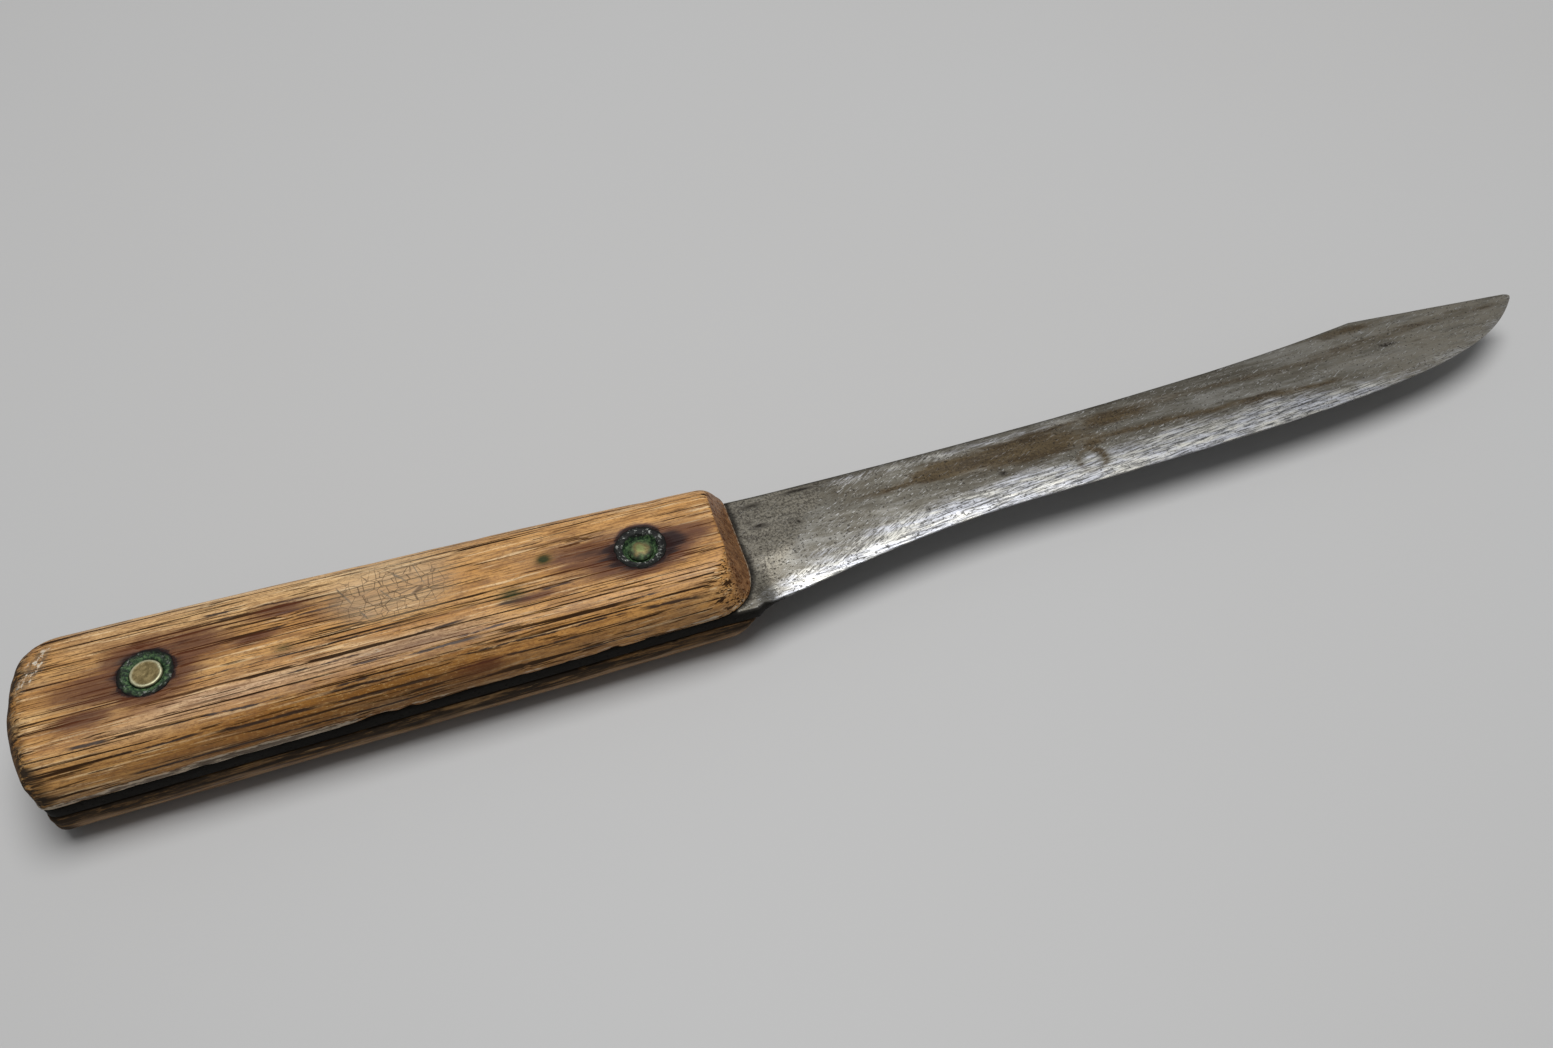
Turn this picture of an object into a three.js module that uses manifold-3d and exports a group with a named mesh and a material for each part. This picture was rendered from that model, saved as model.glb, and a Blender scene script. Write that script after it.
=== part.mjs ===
// Butcher knife lying on its side: a full-tang carbon steel blade between two wooden scales,
// held by two brass rivets with burrs. Millimetres, +X to the tip, +Y to the spine, +Z up.
// The origin is on the table, under the middle of the handle.
import * as THREE from "three";
import { mergeVertices } from "three/addons/utils/BufferGeometryUtils.js";
import Module from "manifold-3d";

// Handle scales
const handleLength = 126;
const buttWidth = 32.6;
const frontWidth = 27.2;
const buttCrown = 4.3;
const buttFlat = 4;
const spineBow = 0.6;
const scaleThickness = 8;
const upperRound = 7.6;
const lowerRound = 6.5;
const lowerProud = 0.3;
const buttRound = 4;
const frontSetback = 4.3;
const upperFrontCorner = 9.5;
const lowerFrontCorner = 4;
const frontSpineCorner = 3.2;
const buttEdgeCorner = 2;
const buttSpineCorner = 7;
const cornerKeep = 0.4;
const upperRelief = 0.9;
const lowerRelief = 0.4;

// Tang and blade thickness
const tangThickness = 3;
const tangInset = 0.3;
const tipThickness = 1.3;
const edgeThickness = 0.25;
const bevelWidth = 2.2;
const bevelThickness = 0.9;
const heelBlend = 6;
const plungeReach = 22;

// Blade outline: stations run from the handle's front, heights from the handle's middle line
const bladeLength = 178;
const spineStepIn = 2.05;
const rootSlope = -0.02;
const humpFromTip = 38;
const humpRise = 18.4;
const humpSlope = 0.155;
const noseRun = 1.2;
const noseRise = 15.9;
const tipRise = 14.9;
const tipFlat = 0.3;
const tipSlope = 0.98;
const spurLength = -1;
const spurProud = 0;
const heelStep = 1.4;
const heelNotch = 0.95;
const heelSlope = 0.21;
const waistStation = 60;
const waistDrop = 4.5;
const waistSlope = 0.025;

// Rivets and burrs
const rearRivetFromButt = 23.2;
const frontRivetFromFront = 18.6;
const rivetRise = 0.3;
const shankRadius = 1.7;
const shankClearance = 0.15;
const headOverhang = 1;
const headThickness = 1;
const headChamfer = 0.25;
const headRecess = 0.1;
const peenOverhang = 0.6;
const peenHeight = 0.8;
const burrMargin = 1.4;
const burrThickness = 0.9;
const burrChamfer = 0.25;
const burrClearance = 0.2;

// Fineness of curves
const cornerSteps = 8;
const edgeSteps = 22;
const roundSteps = 6;
const domeSteps = 4;
const latheSides = 32;

// Places that follow from the sizes
const buttX = -handleLength / 2;
const frontX = handleLength / 2;
const middleZ = scaleThickness + tangThickness / 2;
const headRadius = shankRadius + headOverhang;
const peenRadius = shankRadius + peenOverhang;
const burrRadius = headRadius + burrMargin;
const holeRadius = shankRadius + shankClearance;
const counterboreDepth = headRecess + headThickness + burrThickness;
const seat = middleZ - counterboreDepth;
const rivetStations = {
  rear: buttX + rearRivetFromButt,
  front: frontX - frontRivetFromFront,
};

const wasm = await Module();
wasm.setup();

// Solids for cutting and joining
function solidOf(geometry) {
  const bare = geometry.clone();
  bare.deleteAttribute("normal");
  bare.deleteAttribute("uv");
  const merged = mergeVertices(bare, 1e-4);
  return new wasm.Manifold(
    new wasm.Mesh({
      numProp: 3,
      vertProperties: new Float32Array(merged.attributes.position.array),
      triVerts: new Uint32Array(merged.index.array),
    }),
  );
}

function geometryOf(solid) {
  const mesh = solid.getMesh();
  const geometry = new THREE.BufferGeometry();
  geometry.setAttribute("position", new THREE.BufferAttribute(mesh.vertProperties, 3));
  geometry.setIndex(new THREE.BufferAttribute(mesh.triVerts, 1));
  geometry.computeVertexNormals();
  return geometry;
}

// A closed skin over rings of equal length with flat caps; flatten gives a cap's plane coordinates
function loft(rings, flatten) {
  const size = rings[0].length;
  const index = [];
  for (let r = 0; r + 1 < rings.length; r++) {
    for (let i = 0; i < size; i++) {
      const a = r * size + i;
      const b = r * size + ((i + 1) % size);
      index.push(a, b, b + size, a, b + size, a + size);
    }
  }
  const last = (rings.length - 1) * size;
  for (const [a, b, c] of THREE.ShapeUtils.triangulateShape(rings[0].map(flatten), [])) {
    index.push(a, c, b);
  }
  for (const [a, b, c] of THREE.ShapeUtils.triangulateShape(rings.at(-1).map(flatten), [])) {
    index.push(last + a, last + b, last + c);
  }
  const geometry = new THREE.BufferGeometry().setFromPoints(rings.flat());
  geometry.setIndex(index);
  return geometry;
}

// A round cutter along Z
function roundCutter(radius, bottom, top, x) {
  const cylinder = new THREE.CylinderGeometry(radius, radius, top - bottom, latheSides);
  cylinder.rotateX(Math.PI / 2);
  cylinder.translate(x, rivetRise, (bottom + top) / 2);
  return solidOf(cylinder);
}

// The handle's plan outline, drawn in at the sides, butt and front, with its corners cut to a share
function handleShape(side, butt, front, share, edgeRadius) {
  const crownX = buttX + butt;
  const noseX = frontX - front;
  const buttHalf = buttWidth / 2 - side;
  const frontHalf = frontWidth / 2 - side;
  const edgeCorner = edgeRadius * share;
  const spineCorner = frontSpineCorner * share;
  const edgeCut = buttHalf - buttEdgeCorner * share;
  const spineCut = buttHalf - buttSpineCorner * share;
  const buttAt = (cut) => crownX + buttCrown * (cut / (buttWidth / 2)) ** 2;
  const cornerAt = (cut) => buttAt(cut) + ((buttAt(cut) - crownX) * (buttHalf - cut)) / (cut - buttFlat);
  const halfAt = (x) => buttHalf + ((frontHalf - buttHalf) * (x - crownX)) / (noseX - crownX);
  const edgeStart = cornerAt(edgeCut) + buttEdgeCorner * share;
  const edgeEnd = noseX - edgeCorner;
  const spineStart = noseX - spineCorner;
  const spineEnd = cornerAt(spineCut) + buttSpineCorner * share;
  const spineMiddle = (spineStart + spineEnd) / 2;
  const shape = new THREE.Shape();
  shape.moveTo(edgeStart, -halfAt(edgeStart));
  shape.lineTo(edgeEnd, -halfAt(edgeEnd));
  shape.quadraticCurveTo(noseX, -frontHalf, noseX, edgeCorner - frontHalf);
  shape.lineTo(noseX, frontHalf - spineCorner);
  shape.quadraticCurveTo(noseX, frontHalf, spineStart, halfAt(spineStart));
  shape.quadraticCurveTo(spineMiddle, halfAt(spineMiddle) + 2 * spineBow, spineEnd, halfAt(spineEnd));
  shape.quadraticCurveTo(cornerAt(spineCut), halfAt(cornerAt(spineCut)), buttAt(spineCut), spineCut);
  shape.quadraticCurveTo(crownX, buttFlat, crownX, 0);
  shape.quadraticCurveTo(crownX, -buttFlat, buttAt(edgeCut), -edgeCut);
  shape.quadraticCurveTo(cornerAt(edgeCut), -halfAt(cornerAt(edgeCut)), edgeStart, -halfAt(edgeStart));
  return shape;
}

// How far a rounded outer edge draws in at a height above the scale's inner face
function roundInset(radius, height) {
  const rise = Math.max(0, height - (scaleThickness - radius));
  return radius - Math.sqrt(Math.max(0, radius * radius - rise * rise));
}

// One wooden scale, inner face at z = 0 with a worn lip, and its counterbored rivet holes
function makeScale(relief, edgeRadius, round, proud) {
  const outerRound = Math.min(round, scaleThickness);
  const heights = [0, relief];
  for (let i = 0; i <= roundSteps; i++) {
    const turn = (Math.PI / 2) * (i / roundSteps);
    const height = scaleThickness - outerRound * (1 - Math.sin(turn));
    if (height > relief) heights.push(height);
  }
  const rings = heights.map((height) => {
    const worn = Math.max(0, relief - height);
    const side = roundInset(outerRound, height);
    const butt = roundInset(buttRound, height);
    const front = frontSetback * (height / scaleThickness);
    const share = 1 - (1 - cornerKeep) * (side / outerRound);
    const outline = handleShape(side + worn - proud, butt + worn, front, share, edgeRadius);
    return outline.getPoints(cornerSteps).slice(1).map((p) => new THREE.Vector3(p.x, p.y, height));
  });
  const floor = scaleThickness - counterboreDepth;
  let solid = solidOf(loft(rings, (p) => new THREE.Vector2(p.x, p.y)));
  for (const x of Object.values(rivetStations)) {
    solid = solid.subtract(roundCutter(holeRadius, -1, scaleThickness, x));
    solid = solid.subtract(roundCutter(burrRadius + burrClearance, floor, scaleThickness + 1, x));
  }
  return geometryOf(solid);
}

// A point further along a straight run
function along(from, run, slope) {
  return new THREE.Vector2(from.x + run, from.y + run * slope);
}

// The cutting edge in plan: tang edge, heel spur, sweep up to the waist, belly up to the tip
function edgePath(start) {
  const spur = new THREE.Vector2(spurLength, -frontWidth / 2 - spurProud);
  const heel = new THREE.Vector2(spur.x + heelStep, spur.y + heelNotch);
  const waist = new THREE.Vector2(waistStation, -waistDrop);
  const tip = new THREE.Vector2(bladeLength, tipRise - tipFlat);
  const sweep = waist.x - heel.x;
  const belly = tip.x - waist.x;
  const heelPull = along(heel, sweep * 0.45, heelSlope);
  const waistPull = along(waist, sweep * -0.33, waistSlope);
  const bellyPull = along(waist, belly * 0.75, waistSlope);
  const tipPull = along(tip, belly * -0.1, tipSlope);
  const path = new THREE.CurvePath();
  path.add(new THREE.LineCurve(new THREE.Vector2(start, tangInset - frontWidth / 2), spur));
  path.add(new THREE.LineCurve(spur, heel));
  path.add(new THREE.CubicBezierCurve(heel, heelPull, waistPull, waist));
  path.add(new THREE.CubicBezierCurve(waist, bellyPull, tipPull, tip));
  return path;
}

// The spine in plan: tang, long rise to the hump, straight fall to the rounded nose
function spinePath(start) {
  const root = new THREE.Vector2(0, frontWidth / 2 - spineStepIn);
  const hump = new THREE.Vector2(bladeLength - humpFromTip, humpRise);
  const nose = new THREE.Vector2(bladeLength - noseRun, noseRise);
  const tip = new THREE.Vector2(bladeLength, tipRise + tipFlat);
  const rootPull = along(root, hump.x * 0.1, rootSlope);
  const humpPull = along(hump, hump.x * -0.33, humpSlope);
  const path = new THREE.CurvePath();
  path.add(new THREE.LineCurve(new THREE.Vector2(start, root.y), root));
  path.add(new THREE.CubicBezierCurve(root, rootPull, humpPull, hump));
  path.add(new THREE.LineCurve(hump, nose));
  path.add(new THREE.QuadraticBezierCurve(nose, new THREE.Vector2(tip.x, nose.y), tip));
  return path;
}

// A plan curve's height at a station along the blade
function heightAt(curve, x) {
  let low = 0;
  let high = 1;
  for (let i = 0; i < 40; i++) {
    const middle = (low + high) / 2;
    if (curve.getPoint(middle).x < x) low = middle;
    else high = middle;
  }
  return curve.getPoint(high).y;
}

// One blade section: flat flanks down from the spine, a ground wedge, then the sharpened bevel
function bladeSection(x, edgeY, spineY) {
  const { clamp, lerp, smoothstep } = THREE.MathUtils;
  const tall = spineY - edgeY;
  const ground = smoothstep(x, spurLength - heelBlend / 3, spurLength + heelBlend);
  const spineHalf = lerp(tangThickness, tipThickness, clamp(x / bladeLength, 0, 1)) / 2;
  const bevelHalf = lerp(spineHalf, Math.min(bevelThickness / 2, 0.8 * spineHalf), ground);
  const edgeHalf = lerp(spineHalf, edgeThickness / 2, ground);
  const bevelY = edgeY + Math.min(bevelWidth, 0.3 * tall);
  const grindY = edgeY + tall * clamp(x / plungeReach, 0.4, 0.95);
  const flank = [
    [spineY, spineHalf],
    [grindY, spineHalf],
    [bevelY, bevelHalf],
    [edgeY, edgeHalf],
  ];
  const back = flank.toReversed().map(([y, z]) => [y, -z]);
  return [...flank, ...back].map(([y, z]) => new THREE.Vector3(frontX + x, y, z));
}

// The steel: a lofted blade that starts inside the handle, joined to the tang plate
function makeBlade() {
  const start = -1.5 * upperFrontCorner;
  const edge = edgePath(start);
  const spine = spinePath(start);
  const stations = edge.getPoints(edgeSteps).map((p) => p.x);
  stations.push(bladeLength - humpFromTip);
  stations.sort((a, b) => a - b);
  const sections = stations.map((x) => bladeSection(x, heightAt(edge, x), heightAt(spine, x)));
  const blade = solidOf(loft(sections, (p) => new THREE.Vector2(p.y, p.z)));
  const plate = new THREE.ExtrudeGeometry(handleShape(tangInset, tangInset, tangInset, 1, lowerFrontCorner), {
    depth: tangThickness,
    bevelEnabled: false,
    curveSegments: cornerSteps,
  });
  plate.translate(0, 0, -tangThickness / 2);
  let solid = blade.add(solidOf(plate));
  for (const x of Object.values(rivetStations)) {
    solid = solid.subtract(roundCutter(holeRadius, -tangThickness, tangThickness, x));
  }
  return geometryOf(solid);
}

// A turned piece along Z from points of radius and height
function turned(points) {
  const lathe = new THREE.LatheGeometry(
    points.map(([radius, height]) => new THREE.Vector2(radius, height)),
    latheSides,
  );
  lathe.rotateX(Math.PI / 2);
  return geometryOf(solidOf(lathe));
}

// A rivet about the handle's middle plane: hammered dome below, shank, flat head above
function makeRivet() {
  const bearing = seat + burrThickness;
  const top = bearing + headThickness;
  const profile = [];
  for (let i = 0; i <= domeSteps; i++) {
    const turn = (Math.PI / 2) * (i / domeSteps);
    profile.push([peenRadius * Math.sin(turn), -bearing - peenHeight * Math.cos(turn)]);
  }
  profile.push([shankRadius, -bearing]);
  profile.push([shankRadius, bearing]);
  profile.push([headRadius, bearing]);
  profile.push([headRadius, top - headChamfer]);
  profile.push([headRadius - headChamfer, top]);
  profile.push([0, top]);
  return turned(profile);
}

// A burr standing on its counterbore floor at z = 0
function makeBurr() {
  return turned([
    [holeRadius, 0],
    [burrRadius, 0],
    [burrRadius, burrThickness - burrChamfer],
    [burrRadius - burrChamfer, burrThickness],
    [holeRadius, burrThickness],
    [holeRadius, 0],
  ]);
}

// Finishes
const steel = new THREE.MeshStandardMaterial({ color: 0x77736c, roughness: 0.45, metalness: 0.9 });
const wood = new THREE.MeshStandardMaterial({ color: 0xa8743f, roughness: 0.6, metalness: 0 });
const brass = new THREE.MeshStandardMaterial({ color: 0x8a7d4a, roughness: 0.5, metalness: 0.8 });

// The assembly, built about the handle's middle plane
const knife = new THREE.Group();
knife.position.z = middleZ;

function addPiece(name, geometry, material) {
  const mesh = new THREE.Mesh(geometry, material);
  mesh.name = name;
  knife.add(mesh);
  return mesh;
}

addPiece("blade", makeBlade(), steel);
const upperGeometry = makeScale(upperRelief, upperFrontCorner, upperRound, 0);
const lowerGeometry = makeScale(lowerRelief, lowerFrontCorner, lowerRound, lowerProud);
addPiece("upper_scale", upperGeometry, wood).position.z = tangThickness / 2;
const lowerScale = addPiece("lower_scale", lowerGeometry, wood);
lowerScale.position.z = -tangThickness / 2;
lowerScale.scale.z = -1;

for (const [place, x] of Object.entries(rivetStations)) {
  const rivet = addPiece(`${place}_rivet`, makeRivet(), brass);
  rivet.position.set(x, rivetRise, 0);
  if (place === "front") rivet.rotation.x = Math.PI;
  addPiece(`${place}_upper_burr`, makeBurr(), brass).position.set(x, rivetRise, seat);
  const lowerBurr = addPiece(`${place}_lower_burr`, makeBurr(), brass);
  lowerBurr.position.set(x, rivetRise, -seat);
  lowerBurr.scale.z = -1;
}

const root = new THREE.Group();
root.add(knife);

export default root;
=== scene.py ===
"""A worn butcher knife: carbon steel blade, two wooden scales, brass rivets on burrs."""
import math
from functools import cached_property, reduce

import bmesh
import bpy
import numpy as np
from mathutils import Matrix, Vector


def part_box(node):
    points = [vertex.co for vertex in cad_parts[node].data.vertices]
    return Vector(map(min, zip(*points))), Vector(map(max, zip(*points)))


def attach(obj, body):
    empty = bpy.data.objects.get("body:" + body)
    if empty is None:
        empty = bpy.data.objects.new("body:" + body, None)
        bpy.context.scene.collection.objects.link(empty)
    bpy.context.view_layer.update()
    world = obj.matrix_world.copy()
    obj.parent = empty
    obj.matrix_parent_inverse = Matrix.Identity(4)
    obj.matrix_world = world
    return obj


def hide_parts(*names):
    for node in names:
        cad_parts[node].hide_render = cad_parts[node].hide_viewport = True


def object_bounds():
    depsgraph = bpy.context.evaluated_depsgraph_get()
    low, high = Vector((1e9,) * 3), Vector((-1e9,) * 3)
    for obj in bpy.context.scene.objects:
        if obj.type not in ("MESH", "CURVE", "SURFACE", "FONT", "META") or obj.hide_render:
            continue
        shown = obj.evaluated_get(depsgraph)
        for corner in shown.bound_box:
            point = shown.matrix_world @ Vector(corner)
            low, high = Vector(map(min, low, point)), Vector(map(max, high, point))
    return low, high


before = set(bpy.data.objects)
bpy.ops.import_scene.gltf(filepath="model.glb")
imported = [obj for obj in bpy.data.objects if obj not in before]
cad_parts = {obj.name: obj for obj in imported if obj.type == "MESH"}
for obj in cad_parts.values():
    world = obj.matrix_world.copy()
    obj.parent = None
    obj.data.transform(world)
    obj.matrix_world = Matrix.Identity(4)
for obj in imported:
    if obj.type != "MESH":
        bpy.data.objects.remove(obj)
cad_low, cad_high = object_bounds()

# Lengths in this file are millimetres until a mesh is made.
METRES = 0.001

# Handle
BUTT_X, FRONT_X = -63, 63
BUTT_WIDTH, FRONT_WIDTH = 32.6, 27.2
BUTT_CROWN, BUTT_FLAT = 4.3, 4
SPINE_BOW = 0.6
SCALE_THICKNESS = 8
BUTT_ROUND = 4
FRONT_SETBACK = 4.3
FRONT_SPINE_CORNER = 3.2
UPPER_EDGE_CORNER, LOWER_EDGE_CORNER = 9.5, 4
BUTT_EDGE_CORNER, BUTT_SPINE_CORNER = 2, 7
CORNER_KEEP = 0.4
MIDDLE_Z = 9.5
RIVET_RISE = 0.3
REAR_RIVET_X, FRONT_RIVET_X = -39.8, 44.4
BORE_RADIUS, BORE_DEPTH = 4.3, 2
VOXEL = 0.37

# Each scale turns up (1) or down (-1), with a worn lip, a front corner and rounded sides.
SCALES = {
    "upper_scale": dict(turn=1, relief=0.5, corner=UPPER_EDGE_CORNER, side_round=7.6, proud=0, seed=101),
    "lower_scale": dict(turn=-1, relief=0.4, corner=LOWER_EDGE_CORNER, side_round=6.5, proud=0.3, seed=202),
}

# Dark veins in the upper scale: start along X and below the ridge, end along X and below the ridge, width
VEINS = (
    (-53, 2.1, -45, 2.6, 0.4), (-40, 2.7, -17, 3.2, 0.26), (-58, 5, -30, 5.4, 0.24),
    (-32, 5.9, -12, 6.4, 0.42), (-14, 6.4, 8, 7.1, 0.38), (-14, 4.4, 3, 5, 0.28),
    (-11, 3.9, -4, 3.8, 0.26), (-46, 9, 8, 9.8, 0.26), (10, 9.5, 44, 10.1, 0.26),
    (6, 6.8, 33, 7.1, 0.28), (0, 2, 16, 2.3, 0.36), (8, 4.5, 41, 5.5, 0.24),
    (40, 5.4, 54, 6.2, 0.4), (16, 3.1, 47, 3.4, 0.22), (9, 1.4, 22, 1.4, 0.24),
    (-14, -1.4, 14, -1.6, 0.26), (-20, -0.7, -3, -0.5, 0.22), (-10, 1.2, 2, 1.3, 0.24),
    (-36, -4.6, 3, -4.1, 0.22), (17, -2.5, 25, -2.5, 0.4), (25, -3.5, 32, -3.3, 0.4),
    (-29, -15.6, -21, -14.9, 0.34), (-31, -17, -23, -16.6, 0.26), (-22, -16.2, -12, -15.6, 0.28),
    (-19, -13.6, -10, -13.2, 0.3), (-24, -10, -16, -10.8, 0.34), (-17, -12, -6, -11.8, 0.26),
    (-8.2, -15.8, -5.4, -10.8, 0.5), (-4.8, -9.6, -3.2, -7, 0.46), (1.2, -16, 4.2, -12.8, 0.44),
    (5.2, -17, 7, -10.8, 0.46), (-1, -13, 1.6, -9.2, 0.4),
)

# Soft spots on the scales: place along X and Y, radii along X and Y, strength
STAINS = (
    (REAR_RIVET_X, RIVET_RISE, 7, 5.4, 1.3), (REAR_RIVET_X - 6, -0.5, 10, 4.6, 0.58),
    (REAR_RIVET_X + 6, 3.6, 8, 3.6, 0.62), (-50, -6, 6, 2.6, 0.55), (-18, 6.2, 6, 1.7, 0.55),
    (-22, 1.8, 6, 1.2, 0.42), (-8, 3.5, 9, 2.4, 0.35), (FRONT_RIVET_X, -0.5, 6.6, 3.7, 2.2),
    (FRONT_RIVET_X + 8, 1.2, 6.2, 3.4, 0.52), (FRONT_RIVET_X + 5.5, 0.2, 4.2, 3.6, 0.95),
    (FRONT_RIVET_X - 6, -0.6, 5, 3.4, 0.85), (FRONT_RIVET_X - 9, 1.6, 11, 4.6, 0.55),
    (13, -13.4, 6, 1.1, 0.5), (24, -4.5, 5, 1, 0.6), (4, -8, 16, 1.5, 0.35),
)
GREEN_SPOTS = ((27.5, 2.9, 1.3, 1, 1.5), (20.8, -3, 2.2, 1.5, 0.8), (-17.8, -1.8, 1.3, 0.7, 0.6))
DENSE_GRAIN = ((-18, 7, 15, 4.5, 1), (5, -1.5, 13, 2.5, 0.8))
# Paler places, along X and below the ridge
PALE_SPOTS = ((-40, 1.8, 8, 2.2, 0.9), (53, 2.5, 6, 4, 0.8))
# How much of a mark the lower scale shows
LOWER_SHARES = dict(green=0, craze=0.4, flake=0.5, amber_shade=0.3, deep_shade=0)

# Blade, with places given along the blade from the handle's front and across it
TANG_THICKNESS, TIP_THICKNESS = 3, 1.3
TANG_INSET, TANG_CORNER = 0.3, 4
EDGE_THICKNESS = 0.25
BEVEL_WIDTH, BEVEL_THICKNESS = 2.2, 0.9
SPINE_ROUND, TANG_ROUND = 0.22, 0.45
THINNEST_HALF = 0.05
PLUNGE_REACH = 22
BLADE_LENGTH = 178
HIDDEN_ROOT = (-14.25, -13.3)
SPUR = (-1, -13.6)
HEEL, HEEL_SLOPE = (0.4, -12.65), 0.21
WAIST, WAIST_SLOPE = (60, -4.5), 0.025
TIP, TIP_SLOPE = (BLADE_LENGTH, 14.6), 0.98
SPINE_ROOT, ROOT_SLOPE = (0, 11.55), -0.02
HUMP, HUMP_SLOPE = (140, 18.4), 0.155
NOSE, NOSE_PULL, NOSE_END = (176.8, 15.9), (177.8, 15.7), (BLADE_LENGTH, 15.2)

# Marks on the blade: a round water ring, brown bands through stations along it, soft spots and pits
RING_PLACE, RING_RADIUS = (71.5, 0.6), 2.8
BANDS = (
    ((17, 22, 45, 72, 98, 125), (4.2, 4.6, 6.4, 5.4, 5.2, 4.4), (0.9, 1.4), 0.72),
    ((34, 45, 80, 123, 150, 170), (8.6, 8.8, 10.2, 10.8, 13, 13.8), (1.2, 1.8), 0.58),
)
BAND_SPOTS = (
    (44, 6.6, 10, 2.6, 1.2), (60, 6.6, 18, 3.4, 1.06), (80, 9.2, 12, 2.2, 0.86),
    (140, 11.5, 14, 2.6, 0.55), (165, 14.2, 9, 1.1, 0.62), (138, 16.2, 13, 2, 0.72),
    (73.5, 4.6, 5, 1.6, 0.8),
)
PITS = (
    (4.6, 9.3, 2.2, 0.4, 1.1), (4.8, 4.2, 1.5, 0.45, 1.1), (3, 5.4, 0.8, 0.3, 1.1),
    (14, 10.2, 3.4, 0.35, 1.1), (36.5, -1.2, 0.5, 0.4, 1.1), (53.5, 2.6, 0.9, 0.5, 1.1),
    (12, 3, 0.4, 0.4, 1.1), (144, 10.2, 3, 0.5, 1.1),
)

# Rivets and burrs
SHANK_RADIUS, HEAD_RADIUS = 1.7, 2.7
DOME_RADIUS, DOME_RISE, DOME_LEVEL = 2.3, 0.8, 1.12
BURR_HOLE = 1.85

# Stage, with the camera fitted to the photograph and the lamp in metres and watts
CAMERA_PLACE = (22.92, -143.93, 209.57)
CAMERA_FORWARD = (0.1901, 0.5856, -0.788)
CAMERA_RIGHT = (0.9512, -0.3087, 0)
PHOTO_WIDTH, FOCAL_PIXELS, SENSOR_WIDTH = 1553, 1350, 36
FLOOR_HALF, FLOOR_LEVEL = 3000, -0.05
ROOM_LIGHT, SEEN_LIGHT = 0.16, 0.46
LAMP_PLACE, LAMP_TARGET = (0.12, 0.1, 1), (0.08, 0, 0)
LAMP_SIZE, LAMP_WATTS = 0.7, 8.6


# Noise and soft shapes

def hashed(cells, seed):
    """One steady number from -1 to 1 for each whole-number cell."""
    primes = np.array([73856093, 19349663, 83492791], dtype=np.int64)
    key = ((cells * primes).sum(axis=1) + seed * 7919).astype(np.uint64)
    key ^= key >> np.uint64(13)
    key *= np.uint64(0x9E3779B97F4A7C15)
    key ^= key >> np.uint64(29)
    key *= np.uint64(0xBF58476D1CE4E5B9)
    key ^= key >> np.uint64(32)
    return (key & np.uint64(0xFFFFF)).astype(float) / 524287.5 - 1


def noise(points, period, seed):
    """Smooth noise from -1 to 1; period is the size of a cell, or its size along each axis."""
    place = np.asarray(points, dtype=float) / np.asarray(period, dtype=float)
    cell = np.floor(place).astype(np.int64)
    part = place - cell
    part = part * part * (3 - 2 * part)
    total = np.zeros(len(place))
    for corner in range(8):
        step = np.array([corner & 1, corner >> 1 & 1, corner >> 2 & 1])
        weight = np.where(step, part, 1 - part).prod(axis=1)
        total += weight * hashed(cell + step, seed)
    return total


def line_noise(values, period, seed):
    """Smooth noise from -1 to 1 along a line."""
    values = np.asarray(values, dtype=float)
    points = np.stack([values, np.full_like(values, 0.5), np.full_like(values, 0.5)], axis=1)
    return noise(points, (period, 1, 1), seed)


def smooth(value, low, high):
    """0 below low, 1 above high, and an S curve between."""
    share = np.clip((value - low) / (high - low), 0, 1)
    return share * share * (3 - 2 * share)


def bell(value, width):
    """1 where the value is 0, and 0.37 where it is the width."""
    return np.exp(-(value / width) ** 2)


def spot(x, y, centre, radii):
    """A soft round spot: 1 at the centre, 0.37 at the radii."""
    return np.exp(-((x - centre[0]) / radii[0]) ** 2 - ((y - centre[1]) / radii[1]) ** 2)


def spots(x, y, rows, gather=np.max):
    """Several soft spots: the strongest at each point, or their sum."""
    return gather([spot(x, y, row[:2], row[2:4]) * row[4] for row in rows], axis=0)


# Meshes

def strips(rows, count, closed=False):
    """Quads between rings of points; closed joins the last ring to the first."""
    faces = []
    for row in range(rows if closed else rows - 1):
        low, high = row * count, (row + 1) % rows * count
        for step in range(count):
            after = (step + 1) % count
            faces.append([low + step, low + after, high + after, high + step])
    return faces


def add_object(name, data):
    """A new object in the scene, from its mesh, camera or lamp."""
    thing = bpy.data.objects.new(name, data)
    bpy.context.collection.objects.link(thing)
    return thing


def make_object(name, points, faces):
    """A smooth-shaded mesh object from points in millimetres."""
    mesh = bpy.data.meshes.new(name)
    mesh.from_pydata((np.asarray(points) * METRES).tolist(), [], faces)
    mesh.polygons.foreach_set("use_smooth", np.ones(len(mesh.polygons), dtype=bool))
    return add_object(name, mesh)


def loft(name, rings, flip=False):
    """A closed skin over a stack of rings; flip turns its faces over."""
    rings = np.asarray(rings)
    rows, count = rings.shape[:2]
    faces = strips(rows, count)
    faces.append(list(range(count))[::-1])
    faces.append(list(range((rows - 1) * count, rows * count)))
    if flip:
        faces = [face[::-1] for face in faces]
    return make_object(name, rings.reshape(-1, 3), faces)


def points_of(mesh):
    """Points and normals of a mesh, in millimetres."""
    count = len(mesh.vertices)
    points = np.empty(count * 3)
    normals = np.empty(count * 3)
    mesh.vertices.foreach_get("co", points)
    mesh.vertex_normals.foreach_get("vector", normals)
    return points.reshape(-1, 3) / METRES, normals.reshape(-1, 3)


def move_points(mesh, points):
    """Puts a mesh's points back, given in millimetres."""
    mesh.vertices.foreach_set("co", (points * METRES).ravel())
    mesh.update()


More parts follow.
